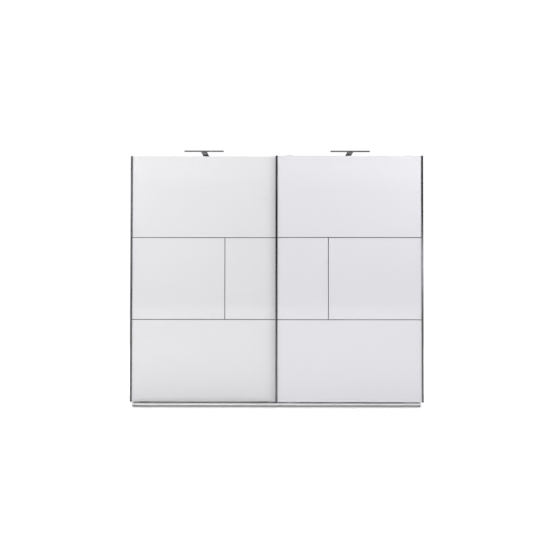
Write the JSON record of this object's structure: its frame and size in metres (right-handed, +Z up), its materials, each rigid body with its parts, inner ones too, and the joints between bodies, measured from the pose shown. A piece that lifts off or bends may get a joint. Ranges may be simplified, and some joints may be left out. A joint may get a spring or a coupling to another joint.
{
  "type": "sliding door wardrobe",
  "caption": "Wide free-standing wardrobe with white glass-faced sliding doors hung from a top rail, dark upright handle profiles, hanging rails, hat shelves and clip-on lamps.",
  "frame": {"origin": "on the floor under the middle of the whole piece, lamps included", "axes": "+X to the right seen from the front, +Y to the back, +Z up"},
  "size_m": [2.5, 0.78, 2.173],
  "materials": {
    "carcass_board": "white melamine-faced chipboard, fine soft texture",
    "back_board": "thin hardboard, printed white",
    "door_board": "white melamine-faced chipboard",
    "door_glass": "white back-lacquered glass, polished",
    "door_profile": "graphite anodised, brushed lengthwise",
    "door_trim": "graphite anodised",
    "running_rail": "natural anodised extrusion",
    "guide_rail": "natural anodised extrusion with a front apron",
    "trolley_steel": "zinc-plated steel",
    "roller_plastic": "natural nylon",
    "shoe_plastic": "black nylon",
    "stop_rubber": "black rubber",
    "foot_plastic": "grey plastic",
    "rail_tube": "chromed oval steel tube",
    "bracket_metal": "nickel-plated",
    "lamp_arm": "dark grey lacquered steel",
    "lamp_head": "satin graphite aluminium"
  },
  "bodies": {
    "carcass": {"side_panel_left": "carcass_board", "side_panel_right": "carcass_board", "top_panel": "carcass_board", "bottom_panel": "carcass_board", "partition_panel": "carcass_board", "plinth_front": "carcass_board", "plinth_rear": "carcass_board", "centre_foot": "carcass_board", "hat_shelf_left": "carcass_board", "hat_shelf_right": "carcass_board", "back_panel_left": "back_board", "back_panel_right": "back_board", "foot_strip_left": "foot_plastic", "foot_strip_right": "foot_plastic", "clothes_rail_left": "rail_tube", "clothes_rail_right": "rail_tube", "rail_bracket_left_inner": "bracket_metal", "rail_bracket_left_outer": "bracket_metal", "rail_bracket_right_inner": "bracket_metal", "rail_bracket_right_outer": "bracket_metal", "top_running_rail": "running_rail", "bottom_guide_rail": "guide_rail", "end_stop_left": "stop_rubber", "end_stop_right": "stop_rubber", "lamp_arm_left": "lamp_arm", "lamp_arm_right": "lamp_arm", "lamp_head_left": "lamp_head", "lamp_head_right": "lamp_head"},
    "left_door": {"left_door_carrier_board": "door_board", "left_door_glass_top": "door_glass", "left_door_glass_middle_wide": "door_glass", "left_door_glass_middle_narrow": "door_glass", "left_door_glass_bottom": "door_glass", "left_door_trim_upper": "door_trim", "left_door_trim_lower": "door_trim", "left_door_trim_vertical": "door_trim", "left_door_handle_inner": "door_profile", "left_door_handle_outer": "door_profile", "left_door_trolley_inner": "trolley_steel", "left_door_trolley_outer": "trolley_steel", "left_door_shoe_inner": "shoe_plastic", "left_door_shoe_outer": "shoe_plastic"},
    "left_door_inner_wheel": {"left_door_roller_inner": "roller_plastic"},
    "left_door_outer_wheel": {"left_door_roller_outer": "roller_plastic"},
    "right_door": {"right_door_carrier_board": "door_board", "right_door_glass_top": "door_glass", "right_door_glass_middle_wide": "door_glass", "right_door_glass_middle_narrow": "door_glass", "right_door_glass_bottom": "door_glass", "right_door_trim_upper": "door_trim", "right_door_trim_lower": "door_trim", "right_door_trim_vertical": "door_trim", "right_door_handle_inner": "door_profile", "right_door_handle_outer": "door_profile", "right_door_trolley_inner": "trolley_steel", "right_door_trolley_outer": "trolley_steel", "right_door_shoe_inner": "shoe_plastic", "right_door_shoe_outer": "shoe_plastic"},
    "right_door_inner_wheel": {"right_door_roller_inner": "roller_plastic"},
    "right_door_outer_wheel": {"right_door_roller_outer": "roller_plastic"}
  },
  "joints": [
    {"name": "left_door_slide", "type": "slide", "parent": "carcass", "child": "left_door", "axis": [1, 0, 0], "range_m": [0, 1.24]},
    {"name": "left_door_inner_wheel_spin", "type": "hinge", "parent": "left_door", "child": "left_door_inner_wheel", "pos_m": [-0.1115, -0.195, 2.1322], "axis": [0, 1, 0], "continuous": true},
    {"name": "left_door_outer_wheel_spin", "type": "hinge", "parent": "left_door", "child": "left_door_outer_wheel", "pos_m": [-1.13, -0.195, 2.1322], "axis": [0, 1, 0], "continuous": true},
    {"name": "right_door_slide", "type": "slide", "parent": "carcass", "child": "right_door", "axis": [-1, 0, 0], "range_m": [0, 1.24]},
    {"name": "right_door_inner_wheel_spin", "type": "hinge", "parent": "right_door", "child": "right_door_inner_wheel", "pos_m": [0.1115, -0.155, 2.1322], "axis": [0, 1, 0], "continuous": true},
    {"name": "right_door_outer_wheel_spin", "type": "hinge", "parent": "right_door", "child": "right_door_outer_wheel", "pos_m": [1.13, -0.155, 2.1322], "axis": [0, 1, 0], "continuous": true}
  ],
  "couplings": [
    {"joint": "left_door_inner_wheel_spin", "follows": "left_door_slide", "rad_per_m": 90.909},
    {"joint": "left_door_outer_wheel_spin", "follows": "left_door_slide", "rad_per_m": 90.909},
    {"joint": "right_door_inner_wheel_spin", "follows": "right_door_slide", "rad_per_m": -90.909},
    {"joint": "right_door_outer_wheel_spin", "follows": "right_door_slide", "rad_per_m": -90.909}
  ]
}
